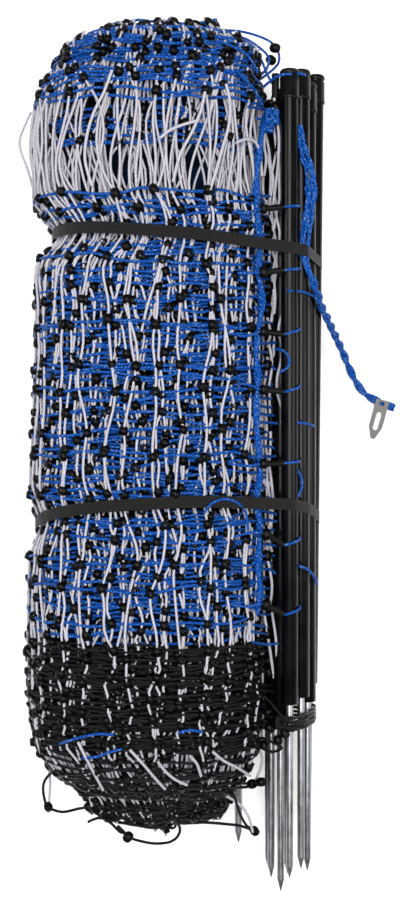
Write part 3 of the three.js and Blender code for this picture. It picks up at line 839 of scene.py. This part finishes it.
# Loose strings, as the picture shows them: (across, down, height), or (across, down) on top of the net
looseLines = {
    "white": [
        [(160, 138), (170, 130), (182, 125), (196, 121)],
        [(205, 92), (201, 110), (192, 132), (180, 155), (173, 182)],
        [(236, 143), (246, 139), (256, 143), (260, 156), (262, 176)],
        [(226, 84), (230, 102), (229, 124), (222, 150), (214, 178), (210, 190)],
        [(112, 70), (104, 92), (94, 112), (87, 135), (85, 160), (92, 186)],
        [(31, 112, 95), (25, 125, 92), (19.5, 140, 90), (21, 152, 90), (27, 168, 92), (33, 188, 95)],
        [(36, 100, 110), (31, 130, 105), (32, 160, 100), (38, 190, 100), (42, 214, 95)],
        [(40, 100, 120), (33, 120, 112), (30, 150, 105), (34, 178, 100), (40, 205, 95)],
        [(274, 98, 150), (277, 118, 148), (279, 140, 146), (278, 165, 144), (275, 190, 144),
         (273, 206, 144)],
        [(270, 108, 140), (274, 130, 138), (276, 152, 136), (272, 176, 138), (276, 204, 138)],
        [(262, 120, 130), (268, 145, 132), (271, 168, 134), (276, 196, 136)],
        [(270, 215, 140), (274, 232, 138), (277, 250, 138), (276, 266, 138)],
        [(272, 276, 140), (274, 300, 138), (271, 322, 138)],
        [(268, 340, 138), (272, 362, 138), (269, 386, 138)],
        [(270, 470, 138), (273, 500, 138), (271, 528, 138)],
        [(268, 560, 138), (272, 585, 138), (270, 606, 138)],
        [(262, 596, 140), (266, 625, 138), (270, 650, 136), (274, 678, 134)],
        [(272, 612, 138), (276, 640, 138), (277, 665, 136), (279, 690, 134)],
        [(49, 765, 75), (50, 785, 75), (48.3, 813, 75)],
        [(78, 742), (86, 758), (95, 775), (103, 790)],
        [(130, 750), (143, 764), (154, 777), (165, 789)],
        [(158, 762), (166, 772), (176, 780), (187, 785)],
        [(190, 756), (197, 764), (201, 776)],
        [(213, 752), (224, 761), (238, 768), (250, 776)],
        [(220, 793, 110), (238, 803, 100), (248, 816, 95), (253, 832, 90)],
        [(248, 744, 120), (256, 746, 115), (262, 757, 110), (260, 770, 105), (254, 784, 100)],
        [(84, 770, 110), (88, 790, 105), (92, 806, 100)],
    ],
    "blue": [
        [(94, 36, 120), (82, 37, 118), (76, 43, 116), (78, 50, 114), (88, 49, 112), (98, 46, 120)],
        [(72, 55, 105), (60, 56, 100), (53, 61, 98), (56, 67, 96), (68, 66, 100)],
        [(212, 30, 120), (238, 31, 118), (258, 36, 114), (272, 43, 110), (279, 54, 108),
         (278, 64, 110), (270, 72, 114),
         (259, 80, 120)],
        [(222, 33, 130), (244, 38, 126), (260, 48, 122), (269, 58, 120), (266, 70, 120), (256, 78, 122)],
        [(228, 44, 140), (246, 48, 136), (260, 58, 130), (267, 74, 132), (275, 88, 138)],
        [(215, 40), (232, 46), (248, 56), (258, 72)],
        [(236, 70), (246, 80), (256, 92), (262, 104)],
        [(44, 720, 95), (42.5, 736, 92), (50, 747, 95), (62, 743), (78, 738), (98, 734), (114, 735)],
        [(82, 758), (96, 757), (110, 752), (122, 749)],
        [(178, 733), (190, 730), (202, 732)],
        [(102, 776, 125), (116, 781, 130), (128, 779, 138), (143, 777, 145)],
        [(204, 513), (211, 504), (224, 499), (238, 503), (246, 514), (248, 532)],
        [(288, 291, 162.5), (297, 291, 155), (303, 292, 149), (309, 294, 141), (313, 296, 128)],
        [(296, 422, 156), (302, 423, 149), (309, 424, 142), (314, 426, 130)],
        [(297, 470, 156), (301, 476, 151), (302, 486, 150), (298, 497, 154)],
        [(299, 566, 155), (307, 569, 146), (313, 575, 136), (317, 584, 122)],
        [(275, 349, 150), (284, 351, 158), (289, 358, 164), (288, 367, 164), (280, 372, 158)],
        [(260, 90, 140), (268, 83, 150), (276, 77, 158), (283, 74.5, 163), (290, 74, 164),
         (292, 74.5, 154)],
        [(296, 74, 152), (298, 73.5, 158), (302, 74, 158), (305, 75, 148)],
    ],
    "black": [
        [(74, 766, 110), (62, 768, 100), (50, 774, 90), (43.5, 784, 85), (44, 797, 80), (48.3, 807, 78),
         (62, 812, 78), (77, 809, 80), (89, 807, 84), (102, 806, 90)],
        [(118, 826, 95), (124, 832, 90), (128, 837, 88), (140, 841, 84), (155, 843.5, 82), (170, 842, 82),
         (178, 836, 84), (180, 828, 90), (175, 820, 98)],
        [(165, 820, 95), (185, 823, 90), (205, 822.5, 88), (225, 824, 86), (241, 826, 86), (254.6, 831, 86),
         (247, 826, 90), (240, 814, 95), (234, 796, 105), (226, 784, 115)],
        [(88, 822, 85), (98, 818, 88), (110, 820, 92), (134, 825, 92), (160, 827, 92), (172, 818, 100)],
        [(190, 792, 130), (205, 788, 124), (222, 784, 118), (240, 783, 112), (252, 784, 108),
         (261, 782, 106)],
        [(194, 797, 122), (210, 793, 116), (228, 788, 112), (246, 787, 108), (261, 783, 104)],
        [(198, 816, 105), (210, 815, 102), (222, 813, 100), (227, 806, 100), (222, 801, 106),
         (212, 797, 112)],
        [(90, 808, 100), (100, 816, 96), (112, 824, 92), (120, 832, 90), (128, 834, 90)],
        [(256, 690, 140), (268, 700, 146), (280, 714, 158), (290, 722, 164), (302, 724, 160)],
        [(254, 716, 140), (266, 722, 146), (276, 728, 152), (288, 728, 162), (304, 727, 158)],
        [(250, 740, 130), (262, 738, 138), (272, 742, 144), (282, 748, 138), (272, 752, 130),
         (262, 748, 128)],
    ],
}
looseBeads = [
    (48.3, 807, 78), (128, 837, 88), (254.6, 831, 86), (252, 784, 108), (261, 782, 106),
    (221.5, 804, 104), (227.5, 780, 116), (198, 816, 105), (89, 807, 86), (116, 28, 130), (93, 38, 120),
    (58, 68, 100), (50, 80, 95), (48, 95, 90), (275, 48, 110), (271, 60, 108), (207, 28, 140),
    (172, 22, 140), (60, 182, 120), (41, 214, 92), (270, 728, 152), (278, 740, 146), (285, 733, 158),
    (264, 745, 134), (268, 712, 146), (275.5, 107, 150), (255, 390, 140), (254, 466, 140),
    (262, 96, 135), (258, 86, 130),
]


overSet = {"firstLevel": 190, "above": 400, "missed": 120, "tries": 3, "step": 6, "lift": 2}


# Bundle place on top of the net under a pixel
def overNet(across, down, lift):
    z = overSet["firstLevel"]
    for attempt in range(overSet["tries"]):
        spot = seenAt(across, down, z)
        hit = surface.hit(place(spot.x, spot.y, overSet["above"]), Vector((0, 0, -1)))
        z = (hit.z / mm if hit else overSet["missed"]) + lift
    return seenAt(across, down, z)


def seenLine(spots, lift):
    corners = [place(*(seenAt(*spot) if len(spot) == 3 else overNet(*spot, lift))) for spot in spots]
    return smoothLine(corners, overSet["step"] * mm)


print("loose strings read")


# Posts: turned round their own axes
postSet = {
    "sides": 40,
    "tube": 9.5,
    "foot": 689,
    "tip": 878,
    "spike": 4,
    "socket": 10,
    "leanNode": "d",
    "lean": 0.6,
    "sharp": 38,
    # change of the tube's radius, and distance under the cap's top or over the foot
    "tubeTop": [(-0.6, 2.5), (0, 3.2)],
    "tubeFoot": [(0, 1), (-0.3, 0.3), (-1, 0)],
    # radius and distance over the tip
    "spikeTip": [(4, 13.6), (3.8, 12.4), (0.9, 1.4), (0.6, 0.4), (0.2, 0)],
    # radius and distance under the cap's top
    "cap": [(0.1, 0.9), (4, 0.5), (7.2, 0.6), (9.2, 1.3), (10.2, 2.4), (10.65, 4), (10.65, 6), (10.2, 6.6),
            (9.5, 7), (9.4, 8.2), (9.7, 8.9), (10.3, 9.2), (10.65, 9.8), (10.65, 30.2), (10.8, 30.5),
            (11, 31),
            (11, 32.6), (10.7, 33), (9.6, 33)],
}


# Adds a turned shape: profile is (radius, y) from the top down, and slope moves x with y
def turnShape(points, faces, profile, axisX, axisZ, foot, slope):
    first = len(points)
    sides = postSet["sides"]
    for radius, y in profile:
        for n in range(sides):
            angle = 2 * math.pi * n / sides
            x = axisX + radius * math.cos(angle) + (y - foot) * slope
            points.append(place(x, y, axisZ + radius * math.sin(angle)))
    for ring in range(len(profile) - 1):
        for n in range(sides):
            a, b = first + ring * sides + n, first + ring * sides + (n + 1) % sides
            faces.append((a, b, b + sides, a + sides))
    faces.append(tuple(first + n for n in range(sides - 1, -1, -1)))
    faces.append(tuple(first + (len(profile) - 1) * sides + n for n in range(sides)))


# (x, top y, z) of a post's cap in the bundle, from its solids
def postPlace(name):
    low, high = [inBundle(corner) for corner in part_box(f"post_tube_{name}")]
    top = inBundle(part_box(f"post_cap_{name}")[1]).y
    x = low.x + postSet["tube"] if name == postSet["leanNode"] else (low.x + high.x) / 2
    return x, top, (low.z + high.z) / 2


posts = {name: postPlace(name) for name in postNames}


def finishMesh(name, points, faces, colour):
    mesh = bpy.data.meshes.new(name)
    mesh.from_pydata(points, [], faces)
    mesh.materials.append(paint[colour])
    mesh.shade_smooth()
    mesh.set_sharp_from_angle(angle=math.radians(postSet["sharp"]))
    return keepPiece(name, mesh)


def addPosts():
    shapes = {"tube": ([], []), "cap": ([], []), "spike": ([], [])}
    for name, (x, top, z) in posts.items():
        foot = top - postSet["foot"]
        tip = top - postSet["tip"]
        slope = math.tan(math.radians(postSet["lean"])) if name == postSet["leanNode"] else 0
        tube = [(postSet["tube"] + step, top - down) for step, down in postSet["tubeTop"]]
        tube += [(postSet["tube"] + step, foot + up) for step, up in postSet["tubeFoot"]]
        cap = [(radius, top - down) for radius, down in postSet["cap"]]
        spike = [(postSet["spike"], foot + postSet["socket"])]
        spike += [(radius, tip + up) for radius, up in postSet["spikeTip"]]
        for part, profile in (("tube", tube), ("cap", cap), ("spike", spike)):
            turnShape(*shapes[part], profile, x, z, foot, slope)
    for part, colour in (("tube", "post"), ("cap", "cap"), ("spike", "spike")):
        piece = finishMesh(f"post_{part}s", *shapes[part], colour)
        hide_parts(*[f"post_{part}_{name}" for name in postNames])


addPosts()
print("posts done")


# Straps: each follows its solid's outline, read by rays from the bundle's inside
strapSet = {
    "cuts": 320,
    "width": 12.5,
    "thickness": 1.2,
    "round": 0.35,
    "inset": 0.05,
    "seamed": "strap_upper",
    "overlap": 1.0,
    "seam": (48, 100),
    "seamAbove": 120,
    "firstReach": 100,
    "tries": 3,
    "sharp": 35,
}


def strapPath(name):
    tree = solidTree(nodes[name])
    low, high = [inBundle(corner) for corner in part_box(name)]
    midX, midZ = (low.x + high.x) / 2, (low.z + high.z) / 2
    start = Vector((midX, strapLevel(name, midX, midZ), midZ))
    points = []
    for n in range(strapSet["cuts"]):
        angle = 2 * math.pi * n / strapSet["cuts"]
        reach = strapSet["firstReach"]
        for attempt in range(strapSet["tries"]):
            end = Vector((midX + math.cos(angle) * reach, 0, midZ + math.sin(angle) * reach))
            end.y = strapLevel(name, end.x, end.z)
            hit = tree.ray_cast(place(*start), (end - start).normalized())[0]
            if hit is None:
                break
            inner = inBundle(hit)
            reach = math.hypot(inner.x - midX, inner.z - midZ)
        if hit is not None:
            points.append(inner)
    return points


# The same closed line in equal steps
def evenLoop(points, count):
    ways = [0]
    for n, point in enumerate(points):
        ways.append(ways[-1] + (points[(n + 1) % len(points)] - point).length)
    line = []
    for n in range(count):
        way = ways[-1] * n / count
        k = max(1, bisect_left(ways, way))
        t = (way - ways[k - 1]) / (ways[k] - ways[k - 1])
        line.append(points[k - 1].lerp(points[k % len(points)], t))
    return line, ways[-1]


# True on the stretch where the strap's free end lies over its start
def inSeam(point):
    first, last = strapSet["seam"]
    return point.z > strapSet["seamAbove"] and first < point.x < last


# Faces of a closed band, and its map in metres, along and across
def bandMesh(name, points, profile, count, length):
    size = len(profile)
    faces = []
    for n in range(count):
        for k in range(size):
            a, b = n * size + k, n * size + (k + 1) % size
            c, d = (n + 1) % count * size + (k + 1) % size, (n + 1) % count * size + k
            faces.append((a, b, c, d))
    mesh = bpy.data.meshes.new(name)
    mesh.from_pydata(points, [], faces)
    layer = mesh.uv_layers.new(name="UVMap")
    for face in mesh.polygons:
        last = face.index // size == count - 1
        for loop in face.loop_indices:
            vertex = mesh.loops[loop].vertex_index
            row = vertex // size
            row = count if last and row == 0 else row
            layer.data[loop].uv = (row * length * mm / count, profile[vertex % size][0] * mm)
    return mesh


def addStrap(name):
    line, length = evenLoop(strapPath(name), strapSet["cuts"])
    half, thick, edge = strapSet["width"] / 2, strapSet["thickness"], strapSet["round"]
    inset = strapSet["inset"]
    profile = [(-half + edge, inset), (half - edge, inset), (half, edge), (half, thick - edge),
               (half - edge, thick), (-half + edge, thick), (-half, thick - edge), (-half, edge)]
    count = len(line)
    points = []
    for n, point in enumerate(line):
        along = (line[(n + 1) % count] - line[n - 1]).normalized()
        side = Vector((0, 1, 0))
        side = (side - along * side.dot(along)).normalized()
        out = along.cross(side)
        lift = strapSet["overlap"] if name == strapSet["seamed"] and inSeam(point) else 0
        for across, up in profile:
            points.append(place(*(point + side * across + out * (up + (lift if up > thick / 2 else 0)))))
    mesh = bandMesh(name + "_band", points, profile, count, length)
    mesh.materials.append(paint["strap"])
    mesh.shade_smooth()
    mesh.set_sharp_from_angle(angle=math.radians(strapSet["sharp"]))
    piece = keepPiece(name + "_band", mesh)
    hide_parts(name)


addStrap("strap_upper")
addStrap("strap_lower")
print("straps done")


# Strings tied to the posts: sleeves with their loops, the upright cord, the knot and the ties at the feet
tieSet = {
    # sleeves, with their turn in degrees and the angles of the loop round the post
    "turns": [10, 10, -4, -4, 2, -32, -30],
    "rise": 0.45,
    "half": 10,
    "beadGap": 4,
    "clear": 1.7,
    "arc": [112, 92, 72, 52, 34, 14, -10],
    "arcDrift": {"level": 0.02, "turned": 0.06},
    # x, swing of y, and z of the string that runs back into the net
    "back": [(-22, 6, 8), (-48, 9, 10), (-75, 12, 4)],
    "cord": [(266, 112), (262, 132), (258, 160), (256, 190), (257, 214), (260, 240), (258, 270), (262, 296),
             (260, 320), (256, 350), (258, 380), (256, 410), (258, 440), (260, 470), (257, 500), (260, 530),
             (258, 560), (260, 590), (257, 612)],
    "cordLift": 2,
    "endSleeve": [(275.5, 74, 148), (275.5, 82, 148), (275.5, 90, 148), (275.5, 98, 148)],
    "plait": {"strings": 4, "reach": 2.6, "pitch": 27, "least": 0.45, "swell": 0.85, "swellPitch": 40.5},
    "knots": [((272, 117, 150), 6.5), ((268, 126, 146), 5), ((281, 722, 156), 5)],
    "ties": [-290, -294.5, -299, -303],
    "tied": "abcdefghj",
    "tieSwing": 0.6,
    "tieGap": (2, 3.5),
    "tieCuts": 24,
    "blackFrom": 600,
    "radius": {"blue": 1.5, "cord": 1.7, "sleeve": 4.1, "white": 1.55, "black": 1.7},
    "sides": 8,
    "sleeveSides": 20,
    "beadSides": (14, 8),
    "seed": 12,
}


edgeSet = {
    "first": 96,
    "last": 690,
    "across": (263, 279),
    "gap": (6, 13),
    "height": (128, 143),
    "bare": (125, 190),
    "blackFrom": 648,
    "startIn": (4, 16),
    "reach": (6, 5),
    "dip": (6, 22),
    "stray": {"start": 3, "near": 2, "across": (-4, 3), "down": (-3, 4), "upright": 2.5, "level": 3},
    "step": 5,
    "beadShare": 0.3,
    "uprights": 22,
    "uprightReach": (50, 120),
    "uprightStep": 16,
    "uprightLeast": 60,
    "uprightOver": 20,
}


# Directions to the side and up from a line, at its point k
def sideAndUp(line, k):
    along = (line[min(k + 1, len(line) - 1)] - line[max(k - 1, 0)]).normalized()
    side = along.cross(Vector((0, 0, 1))).normalized()
    return side, side.cross(along)


# Strings wound round a middle line, wide and narrow in turn
def plait(middle, given):
    lines = []
    for n in range(given["strings"]):
        line = []
        way = 0
        for k, point in enumerate(middle):
            side, up = sideAndUp(middle, k)
            way += (point - middle[max(k - 1, 0)]).length / mm
            angle = 2 * math.pi * (n / given["strings"] + way / given["pitch"])
            swell = given["least"] + given["swell"] * math.sin(math.pi * way / given["swellPitch"]) ** 2
            line.append(point + (side * math.cos(angle) + up * math.sin(angle)) * given["reach"] * swell * mm)
        lines.append((line, False))
    return lines


knotSet = {"points": 90, "turns": 2, "tall": 1.2, "flat": 0.7, "rates": [(2.2, 2.8), (3.1, 3.9), (1.4, 1.9)]}


# A ball of string wound about itself
def knot(centre, size, source):
    a, b, c = [source.uniform(*pair) for pair in knotSet["rates"]]
    line = []
    for n in range(knotSet["points"]):
        t = 2 * math.pi * knotSet["turns"] * n / (knotSet["points"] - 1)
        ball = Vector((math.sin(a * t), math.cos(b * t) * knotSet["tall"], math.sin(c * t) * knotSet["flat"]))
        line.append(place(*(centre + ball * size)))
    return line


# Closed line round posts, as a string pulled tight lies
def hullLoop(names, reach):
    spots = []
    for name in names:
        x, top, z = posts[name]
        for n in range(tieSet["tieCuts"]):
            angle = 2 * math.pi * n / tieSet["tieCuts"]
            spots.append((x + reach * math.cos(angle), z + reach * math.sin(angle)))
    spots.sort()
    line = []
    for ordered in (spots, spots[::-1]):
        half = []
        for spot in ordered:
            while len(half) > 1 and turnOf(half[-2], half[-1], spot) <= 0:
                half.pop()
            half.append(spot)
        line += half[:-1]
    return line


def turnOf(a, b, c):
    return (b[0] - a[0]) * (c[1] - a[1]) - (b[1] - a[1]) * (c[0] - a[0])


# The net's edge beside the posts: rows that turn in between them
def addEdgeRows(lines, places, source):
    left, right = edgeSet["across"]
    bareTop, bareFoot = edgeSet["bare"]
    nearReach, farReach = edgeSet["reach"]
    nearDip, farDip = edgeSet["dip"]
    stray = edgeSet["stray"]
    down = edgeSet["first"]
    while down < edgeSet["last"]:
        down += source.uniform(*edgeSet["gap"])
        if bareTop < down < bareFoot:
            continue
        start = overNet(left - source.uniform(*edgeSet["startIn"]), down + swing(source, stray["start"]), 1)
        z = source.uniform(*edgeSet["height"])
        spots = [
            start,
            seenAt(left + nearReach, down + swing(source, stray["near"]), z),
            seenAt(right + source.uniform(*stray["across"]), down + source.uniform(*stray["down"]), z - nearDip),
            seenAt(right + farReach, down + source.uniform(*stray["down"]), z - farDip),
        ]
        line = smoothLine([place(*spot) for spot in spots], edgeSet["step"] * mm)
        lines["blue" if down < edgeSet["blackFrom"] else "black"].append((line, False))
        if source.random() < edgeSet["beadShare"]:
            places.append((line[len(line) // 2], Vector((swing(source, 0.4), 1, swing(source, 0.4)))))


# Upright strings over those rows
def addEdgeUprights(lines, source):
    left, right = edgeSet["across"]
    first, last = edgeSet["first"], edgeSet["last"]
    stray = edgeSet["stray"]
    for n in range(edgeSet["uprights"]):
        x = source.uniform(left - 1, right + 1)
        down = source.uniform(first, last - edgeSet["uprightLeast"])
        z = source.uniform(*edgeSet["height"])
        end = min(last + edgeSet["uprightOver"], down + source.uniform(*edgeSet["uprightReach"]))
        spots = []
        while down < end:
            spots.append(seenAt(x + swing(source, stray["upright"]), down, z + swing(source, stray["level"])))
            down += edgeSet["uprightStep"]
        line = smoothLine([place(*spot) for spot in spots], overSet["step"] * mm)
        lines["white"].append((line, False))


# A sleeve's string loops round the top post, and runs back into the net past a bead
def addSleeveString(name, turn, lines, places, source):
    postX, postTop, postZ = posts["a"]
    low, high = [inBundle(corner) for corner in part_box(name)]
    angle = math.radians(turn)
    along = Vector((-math.cos(angle), -math.sin(angle), tieSet["rise"])).normalized()
    middle = (low + high) / 2
    inner = middle + along * (tieSet["half"] + tieSet["beadGap"])
    outer = middle - along * tieSet["half"]
    places.append((place(*inner), Vector((0.2, 1, 0.1))))
    reach = postSet["tube"] + tieSet["clear"]
    drift = tieSet["arcDrift"]["level" if turn >= 0 else "turned"]
    arc = [middle + along * 8, middle - along * 7, outer - along * 0.5]
    for degrees in tieSet["arc"]:
        turned = math.radians(degrees)
        y = outer.y + (tieSet["arc"][0] - degrees) * drift
        arc.append(Vector((postX + reach * math.cos(turned), y, postZ + reach * math.sin(turned))))
    lines["blue"].append((smoothLine([place(*spot) for spot in arc], 3 * mm), False))
    back = [inner - along * 6, inner + along * 4]
    back += [inner + Vector((x, swing(source, y), z)) for x, y, z in tieSet["back"]]
    lines["blue"].append((smoothLine([place(*spot) for spot in back], 6 * mm), False))


def addTies():
    source = random.Random(tieSet["seed"])
    lines = {colour: [(seenLine(spots, overSet["lift"]), False) for spots in found]
             for colour, found in looseLines.items()}
    places = [(place(*seenAt(*spot)), Vector((swing(source, 1), swing(source, 1), source.uniform(-0.3, 0.6))))
              for spot in looseBeads]
    for name, turn in zip(sleeveNames, tieSet["turns"]):
        addSleeveString(name, turn, lines, places, source)
    cord = plait(seenLine(tieSet["cord"], tieSet["cordLift"]), tieSet["plait"])
    addEdgeRows(lines, places, source)
    addEdgeUprights(lines, source)
    for (across, down, z), size in tieSet["knots"]:
        line = (knot(seenAt(across, down, z), size, source), False)
        (lines["black"] if down > tieSet["blackFrom"] else cord).append(line)
    for y in tieSet["ties"]:
        loop = hullLoop(tieSet["tied"], postSet["spike"] + source.uniform(*tieSet["tieGap"]))
        lines["black"].append(([place(x, y + swing(source, tieSet["tieSwing"]), z) for x, z in loop], True))
    endSleeve = [([place(*seenAt(*spot)) for spot in tieSet["endSleeve"]], False)]
    radius, sides = tieSet["radius"], tieSet["sides"]
    return [
        growStrings("loose_blue", lines["blue"], "blue", radius["blue"], sides),
        growStrings("net_cord", cord, "blue rope", radius["cord"], sides),
        growStrings("end_sleeve", endSleeve, "sleeve", radius["sleeve"], tieSet["sleeveSides"]),
        growStrings("loose_white", lines["white"], "white", radius["white"], sides),
        growStrings("loose_black", lines["black"], "black", radius["black"], sides),
        growBeads("loose_beads", places, *tieSet["beadSides"]),
    ]


netPieces += addTies()
for piece in netPieces:
    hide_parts("netting")
print("ties done")


# Sleeves and plate keep their solids
for name in sleeveNames:
    nodes[name].data.materials.clear()
    nodes[name].data.materials.append(paint["sleeve"])
plate = nodes["connector_plate"]
plate.data.materials.clear()
plate.data.materials.append(paint["plate"])


# Lead rope: net strings laid together, loose at the top and twisted further down
ropeSet = {
    "route": [(104, 352, 152), (107, 336, 150), (112.5, 316, 148.6), (116.6, 297, 147),
              (117.6, 278, 146.4), (115.5, 258, 147.2), (111.4, 238, 148.4), (110, 220, 148.4),
              (111, 206, 148.3), (116, 193.8, 146.5), (121.9, 181.5, 141), (127.5, 171, 128),
              (132.8, 160.8, 112), (141, 150.7, 90), (149.2, 140.5, 67), (158.3, 129, 42),
              (167.3, 116.7, 20), (175.2, 100.8, 8), (183.4, 84.2, 4.8), (191.3, 72.2, 4.8),
              (201.3, 63.4, 4.8), (215.5, 57.2, 4.8), (230.4, 50.5, 4.8)],
    "diameter": 9,
    "strings": 10,
    "bundles": 2,
    "radius": 1.5,
    "stringReach": 1.35,
    "twist": 44,
    "stringTwist": 19,
    "looseReach": 5.9,
    "bow": 0.3,
    "swellPower": 0.7,
    "inward": 0.55,
    "inwardStep": 0.382,
    "tightReach": 2.3,
    "tightFrom": 0.42,
    "tightening": 0.1,
    "drift": {"pitch": 12, "reach": 4, "turn": 9},
    "flat": 0.5,
    "lift": 0.2,
    "step": 4,
    "seed": 8,
}


# One string of the rope: free of the others near the top, and laid in twisted bundles further down
def ropeString(n, middle, ways, offset):
    strings, bundles, drift = ropeSet["strings"], ropeSet["bundles"], ropeSet["drift"]
    line = []
    for k, point in enumerate(middle):
        side, up = sideAndUp(middle, k)
        share = ways[k] / ways[-1]
        way = ways[k] / mm
        turn = 2 * math.pi * (n % bundles / bundles + way / ropeSet["twist"])
        ownTurn = 2 * math.pi * (n // bundles * bundles / strings + way / ropeSet["stringTwist"])
        laid = (side * math.cos(turn) + up * math.sin(turn)) * ropeSet["tightReach"]
        laid += (side * math.cos(ownTurn) + up * math.sin(ownTurn)) * ropeSet["stringReach"]
        swell = math.sin(math.pi * min(1, share / ropeSet["tightFrom"])) ** ropeSet["swellPower"]
        spread = 2 * math.pi * n / strings + share * drift["turn"]
        spread += noise.noise(Vector((offset, share * drift["pitch"], 0))) * drift["reach"]
        inward = ropeSet["inward"] * (n * ropeSet["inwardStep"] % 1)
        reach = ropeSet["looseReach"] * (1 + swell) / 2 * (1 - inward)
        free = (side * math.cos(spread) + up * math.sin(spread) * ropeSet["flat"]) * reach
        free -= side * swell * ropeSet["bow"]
        tight = min(1, max(0, (share - ropeSet["tightFrom"]) / ropeSet["tightening"] + 1))
        spot = point + (laid * tight + free * (1 - tight)) * mm
        spot.z = max(spot.z, (ropeSet["radius"] + ropeSet["lift"]) * mm)
        line.append(spot)
    return line, False


def addRope():
    source = random.Random(ropeSet["seed"])
    middle = smoothLine([place(*point) for point in ropeSet["route"]], ropeSet["step"] * mm)
    ways = [0]
    for a, b in zip(middle, middle[1:]):
        ways.append(ways[-1] + (b - a).length)
    lines = [ropeString(n, middle, ways, source.uniform(0, 100)) for n in range(ropeSet["strings"])]
    rope = growStrings("rope", lines, "blue rope", ropeSet["radius"], 8)
    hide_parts("lead_rope")
    print("rope done", round(ways[-1], 3))


addRope()


# Floor and light, in metres
studioSet = {"floor": 30, "level": -0.0005, "floorColour": (0.9, 0.9, 0.9, 1), "wall": 0.3}


def addFloor():
    half = studioSet["floor"] / 2
    mesh = bpy.data.meshes.new("floor")
    corners = [(x * half, y * half, studioSet["level"]) for x, y in ((-1, -1), (1, -1), (1, 1), (-1, 1))]
    mesh.from_pydata(corners, [], [(0, 1, 2, 3)])
    material, tree, principled = newMaterial("floor", Roughness=0.9)
    principled.inputs["Base Color"].default_value = studioSet["floorColour"]
    mesh.materials.append(material)
    floor = bpy.data.objects.new("floor", mesh)
    bpy.context.scene.collection.objects.link(floor)


lampSet = [
    # place, aim, size, power
    ((0.0, 0.1, 2.4), (0.0, 0.0, 0.0), (1.2, 2.2), 92),
    ((-1.9, 0.5, 1.6), (0.0, 0.0, 0.1), (1.0, 1.6), 26),
    ((1.9, -0.3, 1.6), (0.0, 0.0, 0.1), (1.0, 1.6), 26),
]


def addLamps():
    for n, (spot, aim, size, power) in enumerate(lampSet):
        data = bpy.data.lights.new(f"lamp {n}", "AREA")
        data.shape = "RECTANGLE"
        data.size, data.size_y = size
        data.energy = power
        lamp = bpy.data.objects.new(f"lamp {n}", data)
        lamp.location = spot
        lamp.rotation_euler = (Vector(aim) - Vector(spot)).to_track_quat("-Z", "Y").to_euler()
        bpy.context.scene.collection.objects.link(lamp)
    world = bpy.data.worlds.new("world")
    world.use_nodes = True
    background = world.node_tree.nodes["Background"]
    background.inputs["Color"].default_value = (1, 1, 1, 1)
    background.inputs["Strength"].default_value = studioSet["wall"]
    bpy.context.scene.world = world


addFloor()
addLamps()
print("studio done")
